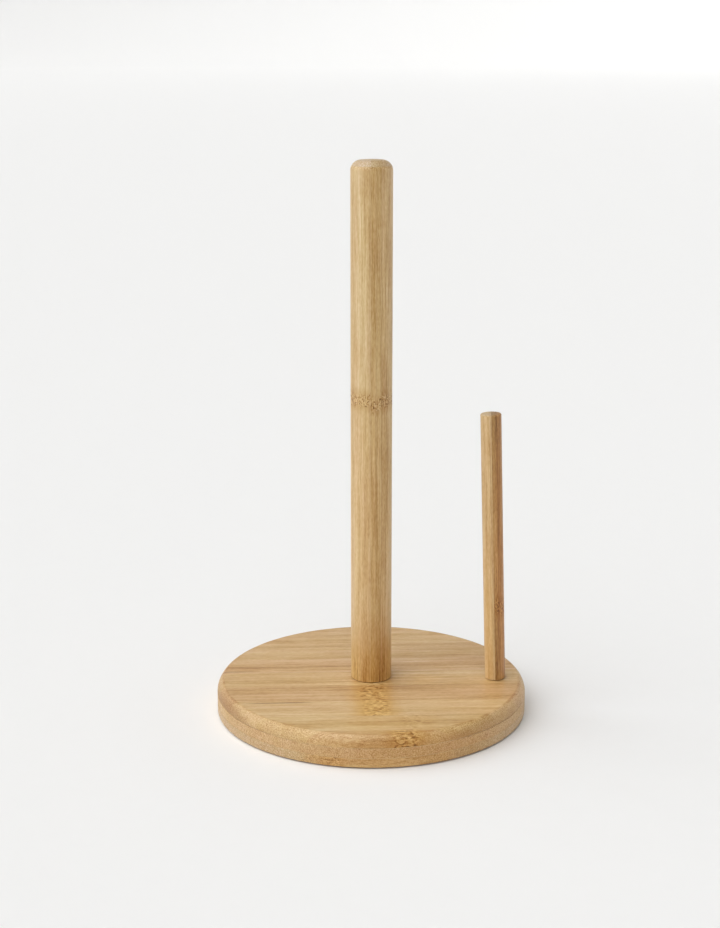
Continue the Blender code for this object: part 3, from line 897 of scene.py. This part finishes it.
def make_cross_cutter():
    """A cross that narrows towards its floor."""
    mesh = bmesh.new()
    rings = []
    for height, reach, half in (
        (-CUT_REACH, CROSS_REACH, CROSS_HALF_WIDTH),
        (0.0, CROSS_REACH, CROSS_HALF_WIDTH),
        (CROSS_DEPTH, CROSS_FLOOR_REACH, CROSS_FLOOR_HALF_WIDTH),
    ):
        ring = []
        for quarter in range(4):
            turn = Matrix.Rotation(quarter * math.pi / 2, 4, "Z")
            for x, y in ((reach, -half), (reach, half), (half, half)):
                ring.append(mesh.verts.new(turn @ Vector((x, y, height))))
        rings.append(ring)
    for lower, upper in zip(rings, rings[1:]):
        for i in range(12):
            j = (i + 1) % 12
            mesh.faces.new((lower[i], lower[j], upper[j], upper[i]))
    mesh.faces.new(rings[0])
    mesh.faces.new(rings[-1])
    return cutter("cross_cutter", mesh)


def make_arm_screw(finish):
    """Countersunk wood screw, built on its own axis from the face of its head up."""
    cone_end = SCREW_HEAD_RIM + SCREW_HEAD_CONE
    taper = SCREW_LENGTH - SCREW_TIP
    thread_low = cone_end + SCREW_PLAIN_SHANK
    profile = [(0.0, SCREW_LENGTH)]
    for _, height in threaded(SCREW_RADIUS, taper, SCREW_LENGTH, SCREW_PITCH)[1:-1]:
        profile.append((SCREW_RADIUS * (SCREW_LENGTH - height) / SCREW_TIP, height))
    profile += threaded(SCREW_RADIUS, thread_low, taper, SCREW_PITCH)
    profile += [
        (SCREW_RADIUS, cone_end),
        (SCREW_HEAD_RADIUS, SCREW_HEAD_RIM),
        (SCREW_HEAD_RADIUS, 0.0),
        (0.0, 0.0),
    ]

    def relief(radius, angle, height):
        depth = SCREW_THREAD_DEPTH * radius / SCREW_RADIUS
        return thread(depth, SCREW_PITCH, thread_low, SCREW_LENGTH)(radius, angle, height)

    screw = turned("wood_screw", profile, SMALL_SIDES, finish, relief)
    cut(screw, [make_cross_cutter()])
    replace(screw, "arm_screw", arm_matrix(SCREW_PLACE))


def make_pads(finish):
    """Four pads with a softened edge and a shallow dish below, which share one mesh."""
    low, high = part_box("foot_pad_1")
    radius, top = (high.x - low.x) / 2, high.z - low.z
    profile = [(0.0, top), (radius, top)]
    profile += lower_round(radius, 0.0, PAD_EASING, FINE_ROUND_STEPS)
    start, bend, level = (radius * share for share in PAD_DISH_SHARES)
    profile += eased((start, 0.0), (bend, 0.0), (level, PAD_DISH), SMALL_ROUND_STEPS)
    profile += [(0.0, PAD_DISH)]
    first = turned("pad_1", profile, SMALL_SIDES, finish)
    for i in range(1, 5):
        pad = first
        if i > 1:
            pad = linked(f"pad_{i}", first.data)
        low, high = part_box(f"foot_pad_{i}")
        middle = (low + high) / 2
        replace(pad, f"foot_pad_{i}", Matrix.Translation((middle.x, middle.y, low.z)))


def make_studio():
    """A pale round floor that curves up all round, lit by an even white sky and one soft light."""
    graph = Graph("studio_paper")
    place = graph.coordinates.outputs["Object"]
    fleck = graph.noise(graph.along(place, (90, 0, 0)), graph.along(place, (0, 90, 0)),
                        graph.along(place, (0, 0, 90)), detail=3.0)
    paper = graph.scaled(graph.place(*PAPER), 1.0 + fleck * 0.01)
    graph.feed(graph.shader.inputs["Base Color"], paper)
    graph.shader.inputs["Roughness"].default_value = 0.9
    graph.shader.inputs["Specular IOR Level"].default_value = 0.0
    graph.shader.inputs["Emission Color"].default_value = (1.0, 1.0, 1.0, 1.0)
    glow = graph.step(graph.along(place, (0, 0, 1)), 0.0, BACKDROP_SWEEP) * BACKDROP_GLOW
    graph.feed(graph.shader.inputs["Emission Strength"], glow)

    profile = [(0.0, 0.0), (FLOOR_RADIUS, 0.0)]
    profile += arc(FLOOR_RADIUS, BACKDROP_SWEEP, BACKDROP_SWEEP, -math.pi / 2, 0.0, BACKDROP_STEPS)[1:]
    profile += [(FLOOR_RADIUS + BACKDROP_SWEEP, BACKDROP_SWEEP + BACKDROP_RISE)]
    mesh = lathe([(radius, height - FLOOR_DROP) for radius, height in profile], FLOOR_SIDES)
    data = bpy.data.meshes.new("studio_floor")
    mesh.to_mesh(data)
    mesh.free()
    data.shade_smooth()
    data.materials.append(graph.material)
    floor = linked("studio_floor", data)

    world = bpy.data.worlds.new("studio_sky")
    bpy.context.scene.world = world
    world.use_nodes = True
    nodes, links = world.node_tree.nodes, world.node_tree.links
    nodes["Background"].inputs["Color"].default_value = (1.0, 1.0, 1.0, 1.0)
    direction = nodes.new("ShaderNodeTexCoord")
    split = nodes.new("ShaderNodeSeparateXYZ")
    links.new(direction.outputs["Generated"], split.inputs[0])
    haze = nodes.new("ShaderNodeMapRange")
    haze.interpolation_type = "SMOOTHSTEP"
    links.new(split.outputs["Z"], haze.inputs["Value"])
    haze.inputs["From Min"].default_value = math.sin(HAZE_LOW)
    haze.inputs["From Max"].default_value = math.sin(HAZE_HIGH)
    haze.inputs["To Min"].default_value = HAZE_STRENGTH
    haze.inputs["To Max"].default_value = SKY_STRENGTH
    links.new(haze.outputs["Result"], nodes["Background"].inputs["Strength"])

    key = bpy.data.lights.new("key_light", "SUN")
    key.energy = KEY_STRENGTH
    key.angle = KEY_SIZE
    key.color = KEY_COLOUR
    to_key = Vector((
        math.cos(KEY_HEIGHT) * math.sin(KEY_TURN),
        -math.cos(KEY_HEIGHT) * math.cos(KEY_TURN),
        math.sin(KEY_HEIGHT),
    ))
    linked("key_light", key).rotation_euler = to_key.to_track_quat("Z", "Y").to_euler()

    view = bpy.context.scene.view_settings
    view.view_transform = "Standard"
    view.look = "None"
    view.exposure = 0.0
    view.gamma = 1.0


def make_camera():
    data = bpy.data.cameras.new("camera")
    data.lens = LENS_MM
    data.sensor_width = SENSOR_MM
    data.clip_start = CLIP_START
    data.clip_end = CLIP_END
    camera = linked("camera", data)
    turn = Matrix.Rotation(CAMERA_TURN, 4, "Z")
    pitch = Matrix.Rotation(math.pi / 2 - CAMERA_PITCH, 4, "X")
    roll = Matrix.Rotation(CAMERA_ROLL, 4, "Z")
    camera.matrix_world = turn @ Matrix.Translation(CAMERA_PLACE) @ pitch @ roll
    bpy.context.scene.camera = camera


make_camera()
make_studio()

GRAIN_TURN = math.radians(4.4)
GRAIN = (math.cos(GRAIN_TURN), math.sin(GRAIN_TURN), 0.0)
CROSS_GRAIN = (-math.sin(GRAIN_TURN), math.cos(GRAIN_TURN), 0.0)

# start, tone, warmth, knot, strength
TOP_STRIPS = (
    (-100.0, 1.00, 0.45, 14.0, 1.0),
    (-77.0, 1.015, 0.25, 19.0, 0.35),
    (-57.5, 1.055, 0.45, 0.5, 1.0),
    (-36.3, 1.00, 0.85, -0.5, 1.0),
    (-15.0, 1.015, 0.35, 2.0, 0.7),
    (6.0, 0.99, 0.95, -130.0, 0.2),
    (27.0, 1.01, 0.50, 135.0, 0.2),
    (48.0, 1.02, 0.55, -130.0, 0.2),
    (69.0, 1.00, 0.65, 140.0, 0.2),
)
# place, strength, from, to
TOP_SEAMS = (
    (-57.5, 0.10, -30.0, 60.0),
    (-37.4, 0.58, -66.0, -36.0),
    (9.2, 0.52, -90.0, -68.0),
    (-15.0, 0.06, -60.0, 70.0),
    (7.0, 0.09, -60.0, 20.0),
    (15.5, 0.13, -78.0, -5.0),
    (27.0, 0.06, -40.0, 70.0),
    (48.0, 0.08, -70.0, 30.0),
)
CORE_STRIPS = (
    (-100.0, 1.00, 0.5, 330.0, 0.0),
    (-45.0, 0.98, 0.4, 310.0, 0.0),
    (-4.0, 0.955, 0.35, 350.0, 0.0),
    (38.0, 0.975, 0.5, 360.0, 0.0),
)
BOTTOM_STRIPS = (
    (-100.0, 0.955, 0.35, -24.0, 0.6),
    (-71.0, 0.975, 0.5, 44.0, 0.6),
    (-50.0, 0.985, 0.5, -12.0, 0.6),
    (-29.0, 0.99, 0.7, 66.0, 0.7),
    (-8.0, 1.01, 0.4, 6.0, 0.6),
    (13.0, 0.985, 0.6, -52.0, 0.75),
    (34.0, 1.00, 0.5, 30.0, 0.6),
    (55.0, 0.99, 0.7, -8.0, 0.6),
)
BOTTOM_SEAMS = tuple((start, 0.12, -80.0, 80.0) for start, *_ in BOTTOM_STRIPS[2:])
POST_STRIPS = (
    # The left strip's paler tone is partly the strip's own and partly painted light on the post's lit left
    # side.
    (-100.0, 1.05, 0.45, 175.5, 1.0),
    (-0.4, 0.937, 0.00, 173.0, 1.0),
    (5.2, 0.965, 0.45, 175.0, 0.9),
)
POST_SEAMS = (
    (-0.4, 0.10, 15.0, 300.0),
    (3.0, 0.10, 15.0, 300.0),
    (5.2, 0.13, 15.0, 300.0),
)
ARM_STRIPS = (
    (-100.0, 1.06, 0.45, 350.0, 0.0),
    (-0.5, 0.76, 0.00, 43.0, 1.0),
    (3.0, 0.82, 0.10, 42.0, 0.7),
)
ARM_SEAMS = (
    (-0.4, 0.14, -5.0, 160.0),
    (2.2, 0.20, 2.0, 46.0),
    (3.2, 0.12, 20.0, 70.0),
)

# centre, reach, tint. Some tints are painted light and painted shade, as marked below.
TOP_TONE_AND_PAINTED_LIGHT_PATCHES = (
    # These four tints make the upper rim darker and browner: partly browner wood, partly painted shade on the
    # rounded rim that faces the sky.
    ((30.0, -75.0, 11.0), (50.0, 18.0, 5.5), (0.87, 0.76, 0.59)),
    ((62.0, -50.0, 12.0), (34.0, 34.0, 5.0), (0.81, 0.73, 0.60)),
    ((-4.0, -82.0, 12.0), (30.0, 12.0, 5.0), (0.92, 0.86, 0.74)),
    ((-74.0, -32.0, 11.5), (17.0, 36.0, 5.5), (0.70, 0.61, 0.52)),
    # Painted light: lighter on the front right of the top face and just right of the post, where the post's
    # shadow falls. Painted shade: darker behind the post on the right.
    ((52.0, -24.0, 18.0), (38.0, 30.0, 8.0), (1.06, 1.03, 0.97)),
    ((24.0, -3.0, 18.0), (14.0, 9.0, 8.0), (1.08, 1.06, 0.98)),
    ((52.0, 42.0, 18.0), (38.0, 19.0, 8.0), (0.91, 0.88, 0.85)),
)
LOW_RIM_PATCHES = (
    ((26.0, -76.0, 5.0), (56.0, 34.0, 12.0), (0.92, 0.83, 0.68)),
)
POST_TONE_AND_PAINTED_LIGHT_PATCHES = (
    # Darker and more orange towards the foot, most on the right front: painted shade and board-coloured
    # bounce near the board, together with the bamboo's own tone.
    ((0.0, 0.0, 15.0), (20.0, 20.0, 30.0), (0.91, 0.82, 0.58)),
    ((5.0, -10.0, 22.0), (9.0, 12.0, 34.0), (0.92, 0.84, 0.73)),
    ((4.0, 0.0, 250.0), (30.0, 30.0, 110.0), (0.985, 1.035, 1.08)),
    # Painted sheen: lighter and bluer along the post's right edge.
    ((10.0, -5.0, 95.0), (7.0, 20.0, 80.0), (1.03, 1.09, 1.14)),
)
ARM_TONE_AND_PAINTED_LIGHT_PATCHES = (
    # Painted light: lighter low on the arm's lit left side.
    ((-5.0, 0.0, 10.0), (6.0, 10.0, 75.0), (1.10, 1.09, 1.03)),
    # Darker and more orange on the right: the dark strip's own colour and painted shade on the shaded right
    # side. The grey tint above it is painted shade.
    ((5.3, 0.0, 70.0), (5.0, 30.0, 110.0), (0.95, 0.76, 0.60)),
    ((5.3, 0.0, 140.0), (6.0, 30.0, 70.0), (0.90, 0.90, 0.90)),
    ((5.3, 0.0, 30.0), (5.0, 30.0, 22.0), (1.0, 0.97, 0.90)),
)

top_finish = bamboo("bamboo_top_ply", GRAIN, CROSS_GRAIN, TOP_STRIPS, TOP_SEAMS, knot_width=7.5,
                    patches=TOP_TONE_AND_PAINTED_LIGHT_PATCHES, worn=(BOARD_RADIUS - TOP_FACE_INSET) / MM,
                    end_tint=(0.96, 0.965, 1.0), edge_grit=0.6, knot_pores=0.5)
core_finish = bamboo("bamboo_core_ply", CROSS_GRAIN, GRAIN, CORE_STRIPS, patches=LOW_RIM_PATCHES,
                     end_tint=(0.985, 0.985, 1.06), edge_grit=0.6)
bottom_finish = bamboo("bamboo_bottom_ply", GRAIN, CROSS_GRAIN, BOTTOM_STRIPS, BOTTOM_SEAMS,
                       patches=LOW_RIM_PATCHES, edge_grit=0.6)
# The post's cut-end tint, paler and bluer on its rounded top, is partly the end grain's own tone and partly a
# painted sheen.
post_finish = bamboo("bamboo_post", (0, 0, 1), (1, 0, 0), POST_STRIPS, POST_SEAMS, patches=POST_TONE_AND_PAINTED_LIGHT_PATCHES,
                     knot_width=3.4, knot_tint=(0.84, 0.75, 0.61), end_tint=(0.96, 1.04, 1.33),
                     coarse=(27.0, 36.0))
arm_finish = bamboo("bamboo_arm", (0, 0, 1), (1, 0, 0), ARM_STRIPS, ARM_SEAMS, patches=ARM_TONE_AND_PAINTED_LIGHT_PATCHES,
                    knot_width=3.6)

make_top_ply(top_finish)
make_core_ply(core_finish)
make_bottom_ply(bottom_finish)
make_post(post_finish)
make_arm(arm_finish)

make_glue_film("upper_glue", CORE_HIGH, TOP_PLY_LOW, lambda angle: GLUE_RECESS * joint_share(angle),
               glue("upper_glue", FLUSH_GLUE, DARK_GLUE_AND_PAINTED_SHADE))
make_glue_film("lower_glue", BOTTOM_HIGH, CORE_LOW, lambda angle: CLOSED_GLUE_RECESS,
               glue("lower_glue", FLUSH_GLUE, PALE_GLUE))

WHITE_ZINC = ((0.56, 0.57, 0.59), (0.66, 0.67, 0.70))
YELLOW_ZINC = ((0.70, 0.55, 0.26), (0.78, 0.60, 0.38))
make_bolt(plated("bolt_steel", *WHITE_ZINC))
make_washer(plated("washer_steel", *WHITE_ZINC))
make_insert(plated("insert_zinc", *YELLOW_ZINC))
make_arm_screw(plated("screw_zinc", *YELLOW_ZINC))
make_pads(rubber())
